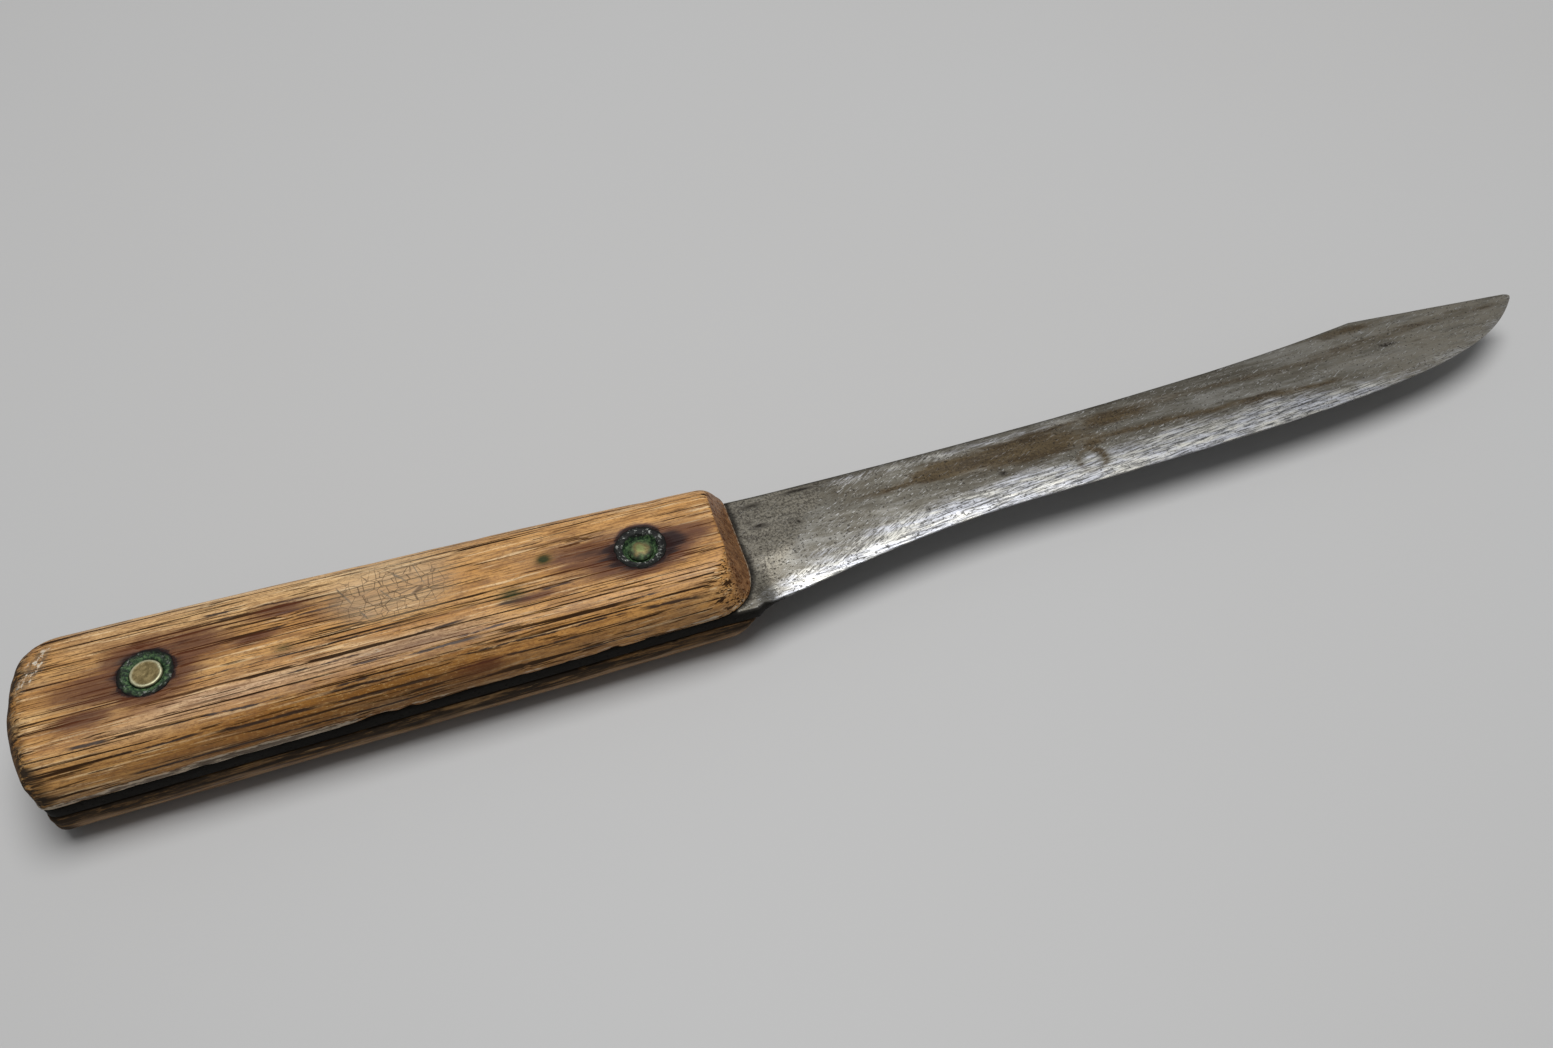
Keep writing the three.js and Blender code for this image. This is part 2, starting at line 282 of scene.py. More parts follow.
def paint(mesh, **layers):
    """Keeps named numbers at each point, for the material to read."""
    for name, values in layers.items():
        layer = mesh.attributes.new(name, "FLOAT", "POINT")
        layer.data.foreach_set("value", np.asarray(values, dtype=np.float32))


def inside(points, node):
    """Points held inside a node's box."""
    low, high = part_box(node)
    return np.clip(points, np.array(low) / METRES, np.array(high) / METRES)


def dress(thing, node, material):
    """Puts a finished piece in place of its node."""
    thing.data.materials.append(material)
    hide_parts(node)
    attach(thing, "root")


# Curves, each without its last point

def shares_along(count):
    return np.linspace(0, 1, count, endpoint=False)[:, None]


def straight(start, end, count):
    share = shares_along(count)
    return (1 - share) * np.array(start) + share * np.array(end)


def quad_curve(start, pull, end, count):
    share = shares_along(count)
    start, pull, end = map(np.array, (start, pull, end))
    return (1 - share) ** 2 * start + 2 * (1 - share) * share * pull + share ** 2 * end


def sloped_curve(start, start_slope, reach, end, end_slope, back, count):
    """A cubic that leaves start and meets end at the given slopes."""
    share = shares_along(count)
    rest = 1 - share
    first = np.array([start[0] + reach, start[1] + reach * start_slope])
    second = np.array([end[0] - back, end[1] - back * end_slope])
    near = rest ** 3 * np.array(start) + 3 * rest ** 2 * share * first
    return near + 3 * rest * share ** 2 * second + share ** 3 * np.array(end)


def handle_outline(side, butt, front, share, edge_radius):
    """The handle from above, drawn in by side, butt and front; share scales its corners."""
    crown, nose = BUTT_X + butt, FRONT_X - front
    butt_half, front_half = BUTT_WIDTH / 2 - side, FRONT_WIDTH / 2 - side
    edge_corner, spine_corner = edge_radius * share, FRONT_SPINE_CORNER * share
    edge_cut = butt_half - BUTT_EDGE_CORNER * share
    spine_cut = butt_half - BUTT_SPINE_CORNER * share

    def butt_at(cut):
        return crown + BUTT_CROWN * (cut / (BUTT_WIDTH / 2)) ** 2

    def corner_at(cut):
        return butt_at(cut) + (butt_at(cut) - crown) * (butt_half - cut) / (cut - BUTT_FLAT)

    def half_at(x):
        return butt_half + (front_half - butt_half) * (x - crown) / (nose - crown)

    edge_start = corner_at(edge_cut) + BUTT_EDGE_CORNER * share
    edge_end = nose - edge_corner
    spine_start = nose - spine_corner
    spine_end = corner_at(spine_cut) + BUTT_SPINE_CORNER * share
    spine_middle = (spine_start + spine_end) / 2
    marks = [
        (edge_start, -half_at(edge_start)), (edge_end, -half_at(edge_end)),
        (nose, edge_corner - front_half), (nose, front_half - spine_corner),
        (spine_start, half_at(spine_start)), (spine_end, half_at(spine_end)),
        (butt_at(spine_cut), spine_cut), (crown, 0), (butt_at(edge_cut), -edge_cut),
    ]
    bowed = (spine_middle, half_at(spine_middle) + 2 * SPINE_BOW)
    return np.concatenate([
        straight(marks[0], marks[1], 160),
        quad_curve(marks[1], (nose, -front_half), marks[2], 20),
        straight(marks[2], marks[3], 30),
        quad_curve(marks[3], (nose, front_half), marks[4], 14),
        quad_curve(marks[4], bowed, marks[5], 160),
        quad_curve(marks[5], (corner_at(spine_cut), half_at(corner_at(spine_cut))), marks[6], 24),
        quad_curve(marks[6], (crown, BUTT_FLAT), marks[7], 20),
        quad_curve(marks[7], (crown, -BUTT_FLAT), marks[8], 20),
        quad_curve(marks[8], (corner_at(edge_cut), -half_at(corner_at(edge_cut))), marks[0], 14),
    ])


# Node graphs

class Graph:
    """Short calls for building the nodes of one material or world."""

    def __init__(self, owner):
        owner.use_nodes = True
        self.owner = owner
        self.tree = owner.node_tree
        self.colour = None

    @cached_property
    def place(self):
        return self.add("TexCoord").outputs["Object"]

    def fill(self, node, values):
        """Puts a link or a plain value on each named or numbered socket."""
        for name, value in values.items():
            socket = node.inputs[name]
            if isinstance(value, bpy.types.NodeSocket):
                self.tree.links.new(value, socket)
            elif socket.type == "RGBA":
                socket.default_value = (*value, 1)
            else:
                socket.default_value = value

    def add(self, kind, values=(), **settings):
        """A new node with the given socket values and settings."""
        node = self.tree.nodes.new("ShaderNode" + kind)
        for name, value in settings.items():
            setattr(node, name, value)
        self.fill(node, dict(values))
        return node

    def math(self, operation, first, second=0):
        return self.add("Math", {0: first, 1: second}, operation=operation).outputs[0]

    def times(self, *factors):
        return reduce(lambda total, factor: self.math("MULTIPLY", total, factor), factors)

    def plus(self, *terms):
        return reduce(lambda total, term: self.math("ADD", total, term), terms)

    def largest(self, *values):
        return reduce(lambda total, value: self.math("MAXIMUM", total, value), values)

    def mix(self, share, first, second):
        return self.add("Mix", {0: share, 6: first, 7: second}, data_type="RGBA").outputs[2]

    def span(self, value, low, high, start=0, end=1):
        """A smooth step from start, at low, to end, at high."""
        values = {"Value": value, "From Min": low, "From Max": high, "To Min": start, "To Max": end}
        return self.add("MapRange", values, interpolation_type="SMOOTHSTEP").outputs["Result"]

    def mapped(self, cells, turn=0, shift=(0, 0, 0)):
        """Object coordinates in cells, so many a millimetre along each axis, turned about Z."""
        place = self.place
        if turn:
            values = {"Vector": place, "Angle": turn}
            place = self.add("VectorRotate", values, rotation_type="Z_AXIS").outputs[0]
        scale = [count / METRES for count in cells]
        return self.add("Mapping", {"Vector": place, "Scale": scale, "Location": shift}).outputs[0]

    def noise(self, along, across, detail=2, rough=0.5, through=None, bend=0, turn=0, shift=(0, 0, 0)):
        """Noise about 0.5, in cells a millimetre along the knife, across it and through it."""
        place = self.mapped((along, across, through or across), turn, shift)
        values = {"Vector": place, "Scale": 1, "Detail": detail, "Roughness": rough, "Distortion": bend}
        return self.add("TexNoise", values).outputs["Fac"]

    def scatter(self, cells, turn=0, shift=(0, 0, 0), feature="F1", jumble=1):
        """Distance in cells to the nearest of scattered points, or to the edge between two."""
        values = {"Vector": self.mapped(cells, turn, shift), "Scale": 1, "Randomness": jumble}
        return self.add("TexVoronoi", values, feature=feature).outputs["Distance"]

    def ramp(self, value, *stops):
        node = self.add("ValToRGB", {"Fac": value})
        while len(node.color_ramp.elements) < len(stops):
            node.color_ramp.elements.new(1)
        for element, (position, colour) in zip(node.color_ramp.elements, stops):
            element.position = position
            element.color = (*colour, 1)
        return node.outputs["Color"]

    def attribute(self, name):
        return self.add("Attribute", attribute_name=name).outputs["Fac"]

    def lay(self, share, shade):
        """Lays a share of a shade over the colour so far."""
        self.colour = self.mix(share, self.colour, shade)

    def tint(self, name, share, shade):
        """Lays a shade over the places that a painted number marks."""
        self.lay(self.times(self.attribute(name), share), shade)

    def bump(self, height, depth, strength):
        """A normal from a height; depth is in millimetres."""
        values = {"Strength": strength, "Distance": depth * METRES, "Height": height}
        return self.add("Bump", values).outputs["Normal"]

    def finish(self, roughness, normal, metallic=0, specular=0.5):
        surface = {"Base Color": self.colour, "Roughness": roughness, "Normal": normal}
        shine = {"Metallic": metallic, "Specular IOR Level": specular}
        self.fill(self.tree.nodes["Principled BSDF"], {**surface, **shine})
        return self.owner


# Wood

def wood_material():
    """Old hardwood: honey tan, long dark pores, stains, soiling and worn spots, with painted shade, painted
    light, a painted sheen and a painted highlight.
    """
    g = Graph(bpy.data.materials.new("worn_wood"))
    low, blotch, fibre, crumbs = wood_ground(g)
    pores = wood_pores(g, low)
    g.lay(g.times(g.largest(pores, wood_veins(g)), 0.96), (0.022, 0.009, 0.004))
    streaked, grime_and_shade = wood_stains(g)
    wood_ends(g)
    hollow, green = wood_wear(g)
    craze = g.attribute("craze")
    cracks = g.times(craze, wood_crazing(g))
    g.lay(g.times(craze, 0.4), (0.6, 0.45, 0.28))
    g.lay(g.times(cracks, 0.75), (0.09, 0.052, 0.028))

    height = g.plus(
        g.times(pores, -0.9), g.times(fibre, 0.35), g.times(blotch, 0.25), g.times(cracks, -0.5),
        g.times(hollow, -0.6), g.times(crumbs, 0.3),
    )
    rough = g.plus(0.4, g.times(pores, 0.25), g.times(grime_and_shade, 0.18), g.times(blotch, 0.12))
    matt = g.plus(pores, g.times(streaked, 0.6), g.times(low, 0.45), grime_and_shade, green)
    specular = g.span(matt, 0, 1, 0.34, 0.05)
    return g.finish(rough, g.bump(height, 0.1, 0.8), specular=specular)


def wood_ground(g):
    """The wood's own colour, with painted shade down the side, painted light on the spine side and a
    painted sheen on the ridge, and the layers of it that are used again.
    """
    g.colour = g.ramp(
        g.noise(0.02, 0.16, 5, 0.6),
        (0.3, (0.32, 0.12, 0.022)),
        (0.44, (0.53, 0.258, 0.07)),
        (0.56, (0.69, 0.385, 0.13)),
        (0.7, (0.82, 0.54, 0.24)),
    )
    # Painted shade with a deeper orange tone: darker down the rounded side below the ridge.
    low = g.attribute("amber_shade")
    g.lay(g.times(low, 0.86), (0.262, 0.106, 0.011))
    g.tint("deep_shade", 0.72, (0.2, 0.07, 0.003))
    # Painted light along the spine side of the top, and a few paler spots.
    g.tint("lit_and_pale", 0.6, (0.78, 0.51, 0.25))
    g.tint("honey", 0.55, (0.66, 0.325, 0.088))
    # A painted sheen: a pale band along the ridge.
    g.tint("ridge", 0.55, (0.86, 0.64, 0.43))
    blotch = g.noise(0.11, 0.2, 5, 0.7)
    g.lay(g.span(blotch, 0.5, 0.66, 0, 0.5), (0.26, 0.116, 0.034))
    grey = g.noise(0.05, 0.3, 5, 0.7, shift=(4, 9, 3))
    g.lay(g.span(grey, 0.52, 0.66, 0, 0.35), (0.39, 0.272, 0.15))
    fibre = g.noise(0.14, 3.2, 4, 0.72)
    g.lay(g.span(fibre, 0.38, 0.54, 0.7, 0), (0.17, 0.07, 0.019))
    pale = g.span(g.noise(0.06, 1.7, 4, 0.6, shift=(3, 7, 1)), 0.56, 0.66, 0, 0.7)
    g.lay(g.times(pale, g.span(low, 0, 1, 1, 0.45)), (0.88, 0.64, 0.36))
    crumbs = g.noise(1.2, 3, 3, 0.8, shift=(2, 2, 9))
    g.lay(g.span(crumbs, 0.37, 0.5, 0.55, 0), (0.19, 0.08, 0.024))
    g.lay(g.times(g.span(crumbs, 0.56, 0.66, 0, 0.55), low), (0.68, 0.43, 0.18))
    return low, blotch, fibre, crumbs


def wood_pores(g, low):
    """Dark pores: long lines, long and short pores, and dots where the front slopes."""
    group = g.span(g.noise(0.018, 0.22, 3, shift=(9, 2, 4)), 0.42, 0.56)
    broken = g.span(g.noise(0.05, 0.7, 3, shift=(1, 6, 2)), 0.4, 0.52)
    dense = g.times(g.attribute("dense"), 0.05)
    lines = g.plus(g.noise(0.008, 1.6, 1.5), g.times(low, 0.01), dense)
    long_pores = g.plus(g.noise(0.03, 2.3, 1.5), dense)
    short_pores = g.noise(0.1, 2.9, 1, shift=(5, 5, 5))
    end_pores = g.noise(0.55, 3.6, 1, shift=(6, 1, 3))
    return g.largest(
        g.times(g.span(lines, 0.6, 0.63), broken),
        g.times(g.span(long_pores, 0.615, 0.645), g.span(group, 0, 1, 0.15, 1)),
        g.times(g.span(short_pores, 0.64, 0.67), 0.85),
        g.times(g.span(end_pores, 0.615, 0.655), g.attribute("brow")),
    )


def wood_veins(g):
    """Long dark lines along the grain of the upper scale."""
    along = g.add("SeparateXYZ", {0: g.mapped((1, 1, 1))}).outputs["X"]
    below = g.attribute("girth")
    wander = g.times(g.plus(g.noise(0.05, 0.05, 3), -0.5), 1.2)
    ragged = g.span(g.noise(0.3, 1.5, 3, 0.7), 0.36, 0.56, 0.12, -0.06)
    level = g.plus(below, wander)
    total = 0
    for start, start_level, end, end_level, width in VEINS:
        slope = (end_level - start_level) / (end - start)
        centre = g.plus(g.times(along, slope), start_level - slope * start)
        gap = g.plus(g.math("ABSOLUTE", g.math("SUBTRACT", level, centre)), ragged)
        fade = min(4, 0.25 * (end - start))
        run = g.times(g.span(along, start, start + fade), g.span(along, end - fade, end, 1, 0))
        total = g.largest(total, g.times(g.span(gap, 0.3 * width, width, 1, 0), run))
    return total


def wood_stains(g):
    """Painted shade on the sides turned toward the edge and over the lower scale, dark stains along the
    grain, the burnished front, and soiling with painted shade where the scales meet the tang.
    """
    # Painted shade: darker on the sides turned toward the edge, and over the lower scale.
    g.tint("side_shade", 0.62, (0.14, 0.09, 0.052))
    grain = g.noise(0.06, 0.9, 5, 0.65)
    streaked = g.times(g.attribute("stain"), g.span(grain, 0.34, 0.6, 0.72, 1.18))
    g.lay(g.span(streaked, 0.02, 0.5, 0, 0.88), (0.098, 0.03, 0.013))
    g.lay(g.span(streaked, 0.5, 0.98, 0, 0.95), (0.018, 0.008, 0.008))
    face = g.span(g.noise(0.6, 1.1, 4, 0.7, through=0.35), 0.4, 0.62)
    burnt = g.mix(face, (0.085, 0.03, 0.012), (0.25, 0.118, 0.05))
    g.tint("burnish", 0.85, burnt)
    # Soiling with painted shade: near black where the scales meet the tang and on the lower scale next to
    # it, and soiling at the butt.
    grime_and_shade = g.attribute("grime_and_shade")
    patches = g.noise(0.07, 1.1, 5, 0.75)
    dirt_and_shade = g.times(grime_and_shade, g.span(patches, 0.36, 0.56, 0.25, 1.15))
    g.lay(dirt_and_shade, (0.034, 0.024, 0.016))
    return streaked, grime_and_shade


def wood_ends(g):
    """End grain at the butt, with rings and dots."""
    rings = g.noise(0.05, 0.7, 3, 0.6, through=0.22, shift=(5, 2, 2))
    ended = g.mix(g.span(rings, 0.42, 0.6), (0.052, 0.03, 0.016), (0.15, 0.082, 0.036))
    dots = g.span(g.scatter((0.3, 2.4, 2.4)), 0.2, 0.32, 1, 0)
    ended = g.mix(g.times(dots, 0.75), ended, (0.016, 0.01, 0.007))
    g.tint("end", 0.92, ended)


def wood_wear(g):
    """Rubbed fibres with hollows between them, with a painted highlight on the front lip, torn flakes, and
    green spots.
    """
    worn = g.times(g.attribute("worn"), 0.6)
    splinter = g.noise(0.22, 1.5, 4, 0.75)
    # Rubbed wear, with the painted highlight along the front lip.
    rubbed = g.span(g.plus(worn, splinter), 0.92, 1.02)
    g.lay(g.times(rubbed, 0.8), (0.56, 0.47, 0.35))
    hollow = g.span(g.plus(worn, g.times(splinter, -1)), 0, 0.1)
    g.lay(g.times(hollow, 0.8), (0.07, 0.046, 0.03))
    flake = g.attribute("flake")
    torn = g.noise(1.2, 0.7, 5, 0.75, through=0.8, turn=0.45, shift=(1, 4, 4))
    g.lay(g.times(flake, g.span(torn, 0.42, 0.54, 0.8, 0.2)), (0.12, 0.084, 0.052))
    g.lay(g.times(flake, g.span(torn, 0.52, 0.6, 0, 0.85)), (0.7, 0.64, 0.53))
    green = g.attribute("green")
    g.lay(green, (0.01, 0.034, 0.016))
    return hollow, green


def wood_crazing(g):
    """Thin broken cracks in old finish, along the grain and across it."""
    nets = []
    for cells, shift in (((0.26, 0.62, 0.3), (0, 0, 0)), ((0.5, 0.4, 0.3), (4, 7, 1))):
        edges = g.scatter(cells, 0.1, shift, "DISTANCE_TO_EDGE", 0.85)
        nets.append(g.span(edges, 0.008, 0.032, 1, 0))
    broken = g.noise(0.22, 0.4)
    first = g.times(nets[0], g.span(broken, 0.36, 0.46))
    return g.largest(first, g.times(nets[1], g.span(broken, 0.6, 0.48)))


# Metal and floor

def steel_material():
    """Carbon steel: grey patina, brown stain bands, pits, and a scratched bright bevel, with painted light
    on the tip and painted shade at the tang and heel.
    """
    g = Graph(bpy.data.materials.new("patina_steel"))
    cloud = g.noise(0.05, 0.34, 6, 0.7)
    g.colour = g.ramp(
        cloud,
        (0.34, (0.064, 0.055, 0.04)),
        (0.5, (0.106, 0.097, 0.078)),
        (0.64, (0.186, 0.179, 0.16)),
    )
    along = g.noise(0.22, 3, 5, 0.8, turn=math.radians(-6))
    slanting = g.noise(0.36, 3.2, 5, 0.8, turn=math.radians(-30))
    scratches = g.plus(along, g.times(g.attribute("hatch"), g.math("SUBTRACT", slanting, along)))
    mottle = g.noise(0.1, 0.6, 6, 0.72, shift=(7, 1, 2))
    # Painted light: the tip lighter and paler.
    tip = g.times(g.attribute("pale"), g.span(mottle, 0.36, 0.6, 0.25, 0.85))
    g.lay(tip, (0.24, 0.22, 0.178))
    g.lay(g.span(scratches, 0.52, 0.66, 0, 0.5), (0.25, 0.246, 0.234))
    stained = g.span(g.plus(g.attribute("band"), g.times(mottle, 1.1)), 0.88, 1.32)
    speckle = g.noise(2.2, 2.4, 4, 0.8)
    rusty = g.plus(g.times(mottle, 0.5), g.times(speckle, 0.5))
    rust = g.mix(g.span(rusty, 0.4, 0.6), (0.082, 0.057, 0.026), (0.028, 0.016, 0.005))
    g.lay(g.times(stained, 0.88), rust)
    forge = g.attribute("forge")
    scaly = g.span(g.plus(g.times(speckle, 0.7), g.times(mottle, 0.3)), 0.42, 0.58)
    forged = g.mix(scaly, (0.046, 0.04, 0.031), (0.176, 0.161, 0.13))
    g.lay(g.times(forge, 0.9), forged)

    uneven = g.noise(0.1, 0.45, 5, 0.7, shift=(2, 8, 3))
    shine = g.plus(g.attribute("bright"), g.times(uneven, 0.8), g.times(scratches, 0.5))
    polish = g.span(shine, 0.86, 1.46)
    hue = g.noise(0.09, 0.5, 4, 0.7, shift=(5, 3, 6))
    light = g.mix(g.span(hue, 0.4, 0.6), (0.515, 0.526, 0.57), (0.585, 0.572, 0.52))
    silver = g.mix(g.span(scratches, 0.4, 0.58), (0.085, 0.085, 0.085), light)
    g.lay(polish, silver)
    flecks = g.span(g.noise(0.6, 3.4, 3, 0.7, turn=math.radians(-24)), 0.605, 0.65)
    plain = g.span(g.plus(stained, forge), 0, 1, 0.8, 0.22)
    g.lay(g.times(flecks, plain), (0.36, 0.358, 0.35))

    pits = g.span(g.plus(g.scatter((0.55, 0.6, 0.6)), g.times(cloud, 0.35)), 0.21, 0.27, 1, 0)
    fine = g.span(g.noise(1.7, 2.2, shift=(1, 1, 8)), 0.62, 0.67)
    marks = g.times(g.attribute("mark"), g.span(speckle, 0.4, 0.55, 0.3, 1.3))
    dark = g.math("MINIMUM", g.largest(g.times(pits, 0.8), g.times(fine, 0.65), marks), 1)
    g.lay(dark, (0.022, 0.018, 0.014))
    # Painted shade with dark patina: the tang, next to the scale's front, and under the heel.
    grime_and_shade = g.attribute("grime_and_shade")
    g.lay(grime_and_shade, (0.006, 0.005, 0.004))
    height = g.plus(g.times(scratches, 0.6), g.times(speckle, 0.35), g.times(dark, -1))
    rough = g.plus(
        0.4, g.times(stained, 0.14), g.times(polish, -0.04), g.times(dark, 0.25), g.times(grime_and_shade, 0.5),
    )
    return g.finish(rough, g.bump(height, 0.04, 0.8), 0.8)


def brass_material():
    """Aged brass: olive face, pale rubbed rim, green verdigris, a dark crust with painted glints, and
    painted shade against the recess wall.
    """
    g = Graph(bpy.data.materials.new("aged_brass"))
    mottle = g.noise(0.9, 0.9, 4, 0.6)
    g.colour = g.mix(g.span(mottle, 0.35, 0.65), (0.12, 0.088, 0.03), (0.215, 0.165, 0.07))
    g.lay(g.attribute("dome"), (0.15, 0.172, 0.06))
    g.lay(g.attribute("rim"), (0.48, 0.47, 0.31))
    patina = g.attribute("verdigris")
    greens = g.ramp(
        g.noise(1.5, 1.5, 4, 0.7, shift=(2, 1, 5)),
        (0.38, (0.005, 0.01, 0.006)),
        (0.49, (0.018, 0.044, 0.018)),
        (0.6, (0.085, 0.15, 0.06)),
    )
    g.lay(patina, greens)
    crust = g.attribute("crust")
    crumbs = g.noise(1.3, 1.3, 4, 0.75, bend=0.5, shift=(8, 3, 2))
    # The crust in grey, with painted glints in the brightest stop.
    greys_and_glints = g.ramp(
        crumbs,
        (0.42, (0.004, 0.004, 0.004)),
        (0.56, (0.022, 0.024, 0.02)),
        (0.63, (0.42, 0.43, 0.4)),
    )
    g.lay(crust, greys_and_glints)
    # Painted shade with a dark crust: near black in the gap against the recess wall.
    soot = g.attribute("soot")
    g.lay(soot, (0.007, 0.007, 0.006))
    metallic = g.span(g.plus(patina, g.times(crust, 0.4)), 0.1, 0.9, 0.6, 0.1)
    rough = g.plus(0.42, g.times(patina, 0.15), g.times(mottle, 0.12))
    height = g.plus(g.times(mottle, 0.4), g.times(crumbs, 0.8))
    specular = g.span(g.plus(soot, patina), 0, 1.6, 0.5, 0.12)
    return g.finish(rough, g.bump(height, 0.12, 0.6), metallic, specular)


def floor_material():
    """A plain pale grey table with the faintest unevenness."""
    g = Graph(bpy.data.materials.new("pale_floor"))
    g.colour = g.mix(g.noise(0.006, 0.006), (0.524, 0.516, 0.508), (0.536, 0.54, 0.542))
    return g.finish(0.6, g.bump(g.noise(0.9, 0.9), 0.02, 0.3))


# Wooden scales

def inner_face(turn):
    """The level where a scale meets the tang."""
    return MIDDLE_Z + turn * TANG_THICKNESS / 2


def side_half(x):
    """Half the handle's width at x."""
    share = (x - BUTT_X) / (FRONT_X - BUTT_X)
    return BUTT_WIDTH / 2 + (FRONT_WIDTH - BUTT_WIDTH) / 2 * share


def from_rivet(x, y):
    """Distance to the nearer rivet's axis."""
    rear = np.hypot(x - REAR_RIVET_X, y - RIVET_RISE)
    return np.minimum(rear, np.hypot(x - FRONT_RIVET_X, y - RIVET_RISE))


def round_inset(radius, height):
    """How far a rounded top edge draws the outline in at a height."""
    rise = max(0, height - (SCALE_THICKNESS - radius))
    return radius - math.sqrt(max(0, radius * radius - rise * rise))


def scale_solid(name, turn, relief, corner, side_round, proud):
    """A scale as a stack of outlines; turn is 1 for the upper scale and -1 for the lower."""
    start = SCALE_THICKNESS - side_round
    bend = [start + side_round * math.sin(math.radians(angle)) for angle in range(0, 91, 5)]
    levels = sorted({0, relief, start / 2 + relief / 2, *(value for value in bend if value > relief)})
    rings = []
    for level in levels:
        worn = max(0, relief - level)
        side = round_inset(side_round, level)
        share = 1 - (1 - CORNER_KEEP) * side / side_round
        butt = round_inset(BUTT_ROUND, level)
        front = FRONT_SETBACK * level / SCALE_THICKNESS
        ring = handle_outline(side + worn - proud, butt + worn, front, share, corner)
        rings.append(np.column_stack([ring, np.full(len(ring), inner_face(turn) + turn * level)]))
    return loft(name, rings, turn < 0)


def bore_tool(turn, x):
    """The round recess for a burr, to be cut from a scale."""
    outer = inner_face(turn) + turn * SCALE_THICKNESS
    middle = outer - turn * (BORE_DEPTH / 2 - 0.5)
    shape = bmesh.new()
    bmesh.ops.create_cone(
        shape, cap_ends=True, segments=72, depth=(BORE_DEPTH + 1) * METRES,
        radius1=BORE_RADIUS * METRES, radius2=BORE_RADIUS * METRES,
        matrix=Matrix.Translation(Vector((x, RIVET_RISE, middle)) * METRES),
    )
    mesh = bpy.data.meshes.new("bore")
    shape.to_mesh(mesh)
    shape.free()
    return add_object("bore", mesh)


def cut_and_remesh(thing, tools):
    """Cuts the recesses and gives the piece an even, fine skin."""
    for tool in tools:
        cut = thing.modifiers.new("bore", "BOOLEAN")
        cut.operation = "DIFFERENCE"
        cut.solver = "EXACT"
        cut.object = tool
    skin = thing.modifiers.new("skin", "REMESH")
    skin.mode = "VOXEL"
    skin.voxel_size = VOXEL * METRES
    skin.use_smooth_shade = True
    bpy.context.view_layer.update()
    shaped = bpy.data.meshes.new_from_object(thing.evaluated_get(bpy.context.evaluated_depsgraph_get()))
    coarse = thing.data
    thing.modifiers.clear()
    thing.data = shaped
    bpy.data.meshes.remove(coarse)
    for tool in tools:
        bpy.data.objects.remove(tool)


def dent_depths(x, y, seed):
    """Scattered small dents."""
    dents = np.zeros(len(x))
    draw = np.random.default_rng(seed)
    for _ in range(34):
        centre = draw.uniform((-58, -15), (58, 14))
        size = draw.uniform(0.5, 1.5)
        dents -= spot(x, y, centre, (size * draw.uniform(1, 2.6), size)) * draw.uniform(0.05, 0.2)
    return dents


def weather_scale(mesh, node, turn, relief, seed):
    """Hollows, grooves, dents, chips and worn ends; gives each point's height and chipping."""
    points, normals = points_of(mesh)
    x, y, z = points.T
    height = turn * (z - inner_face(turn))
    outside = smooth(height, 0.6, 1.6)
    upward = np.clip(turn * normals[:, 2], 0, 1)
    bore = from_rivet(x, y)

    hollow = noise(points, (26, 9, 9), seed) * 0.13
    groove = smooth(noise(points, (26, 2.4, 2.4), seed + 1), 0.3, 0.85) * -0.1
    ripple = noise(points, (5, 2.6, 2.6), seed + 2) * 0.03
    worn = (hollow - 0.1 + groove + ripple + dent_depths(x, y, seed)) * outside
    points = points + normals * (worn * (0.25 + 0.75 * smooth(bore, 4, 5.2)))[:, None]
    rag = smooth(bore, 3.6, 4.2) * (1 - smooth(bore, 4.6, 6)) * upward
    points[:, 2] -= turn * rag * (0.1 + 0.12 * noise(points, 1.2, seed + 9))

    lip_y = -side_half(x) + relief * 0.4
    from_lip = np.hypot(y - lip_y, (height - relief * 0.3) * 1.2)
    chip = np.clip(line_noise(x, 7, seed + 3) * 0.7 + line_noise(x, 2.1, seed + 4) * 0.45, 0, 1)
    chip = chip * bell(from_lip, 1.5)
    points[:, 1] += chip * 0.75
    points[:, 2] += turn * chip * 0.85

    end_chip = np.clip(noise(points, 2.4, seed + 5), 0, 1) * smooth(-x, 54, 62)
    points = points - normals * (end_chip * 0.22 * outside)[:, None]
    move_points(mesh, inside(points, node))
    return height, chip


def scale_stain(x, y, upward, flow):
    """Dark stains round the rivets and in a few places between."""
    stain = spots(x, y, STAINS) * (1 + flow) * (0.35 + 0.65 * upward)
    return np.maximum(stain, 1.3 * (1 - smooth(from_rivet(x, y) + flow * 0.9, 4.4, 5.6)))


def scale_grime_and_shade(x, y, height, upward, flow, turn):
    """Soiling at the butt, darker down the spine side, and painted shade with soiling where the scale meets
    the tang and on the lower scale next to it.
    """
    from_butt = x - BUTT_X - BUTT_CROWN * (y / (BUTT_WIDTH / 2)) ** 2
    butt_edge = 1 - smooth(from_butt + flow * 1.5, 1.2, 4.6)
    spine_side = smooth(y - side_half(x), -3.2, 0.2) * 0.75
    # Painted shade in the gap where the scale meets the tang.
    lip_gap_shade = (1 - smooth(height, 0.1, 0.6)) * 0.9
    # Painted shade on the lower scale's part next to the tang.
    lower = 0.95 * (1 - smooth(height + flow * 2.5, 1.2, 3.4)) if turn < 0 else 0
    return np.clip(butt_edge + spine_side * (1 - upward) + lip_gap_shade + lower, 0, 1)


